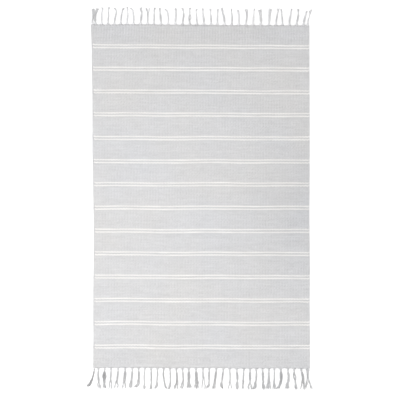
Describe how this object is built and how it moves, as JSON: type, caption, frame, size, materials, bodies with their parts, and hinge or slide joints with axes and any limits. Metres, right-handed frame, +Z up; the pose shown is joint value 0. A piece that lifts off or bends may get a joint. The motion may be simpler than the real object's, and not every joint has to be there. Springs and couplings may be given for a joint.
{
  "type": "bath mat",
  "caption": "Flat-woven rectangular bath mat in pale grey cotton, crossed by evenly spaced pairs of thin white lines, with a knotted fringe at both short ends.",
  "frame": {"origin": "under the middle of the cloth, on the surface that the mat lies on", "axes": "+X across the mat from the left selvedge to the right, +Y along it towards the end with the shorter fringe, +Z up"},
  "size_m": [0.6138, 1.0522, 0.005],
  "materials": {
    "grey_weft": "weft-faced plain weave of soft grey cotton yarn, matt, with a fine fleck and small slubs",
    "white_weft": "the same soft cotton yarn, undyed warm white, matt",
    "warp": "thin plied cotton thread, pale grey, matt, knotted and fraying at the cut ends"
  },
  "bodies": {
    "root": {"grey_band_01": "grey_weft", "grey_band_02": "grey_weft", "grey_band_03": "grey_weft", "grey_band_04": "grey_weft", "grey_band_05": "grey_weft", "grey_band_06": "grey_weft", "grey_band_07": "grey_weft", "grey_band_08": "grey_weft", "grey_band_09": "grey_weft", "grey_band_10": "grey_weft", "grey_band_11": "grey_weft", "grey_band_12": "grey_weft", "grey_band_13": "grey_weft", "grey_band_14": "grey_weft", "grey_band_15": "grey_weft", "pair_core_01": "grey_weft", "pair_core_02": "grey_weft", "pair_core_03": "grey_weft", "pair_core_04": "grey_weft", "pair_core_05": "grey_weft", "pair_core_06": "grey_weft", "pair_core_07": "grey_weft", "pair_core_08": "grey_weft", "pair_core_09": "grey_weft", "pair_core_10": "grey_weft", "pair_core_11": "grey_weft", "pair_core_12": "grey_weft", "pair_core_13": "grey_weft", "pair_core_14": "grey_weft", "carried_weft": "grey_weft", "white_pair_01": "white_weft", "white_pair_02": "white_weft", "white_pair_03": "white_weft", "white_pair_04": "white_weft", "white_pair_05": "white_weft", "white_pair_06": "white_weft", "white_pair_07": "white_weft", "white_pair_08": "white_weft", "white_pair_09": "white_weft", "white_pair_10": "white_weft", "white_pair_11": "white_weft", "white_pair_12": "white_weft", "white_pair_13": "white_weft", "white_pair_14": "white_weft", "warp_threads": "warp", "left_edge_warps": "warp", "right_edge_warps": "warp", "near_gathers": "warp", "far_gathers": "warp", "near_knots": "warp", "far_knots": "warp", "near_tassels": "warp", "far_tassels": "warp"}
  },
  "joints": []
}
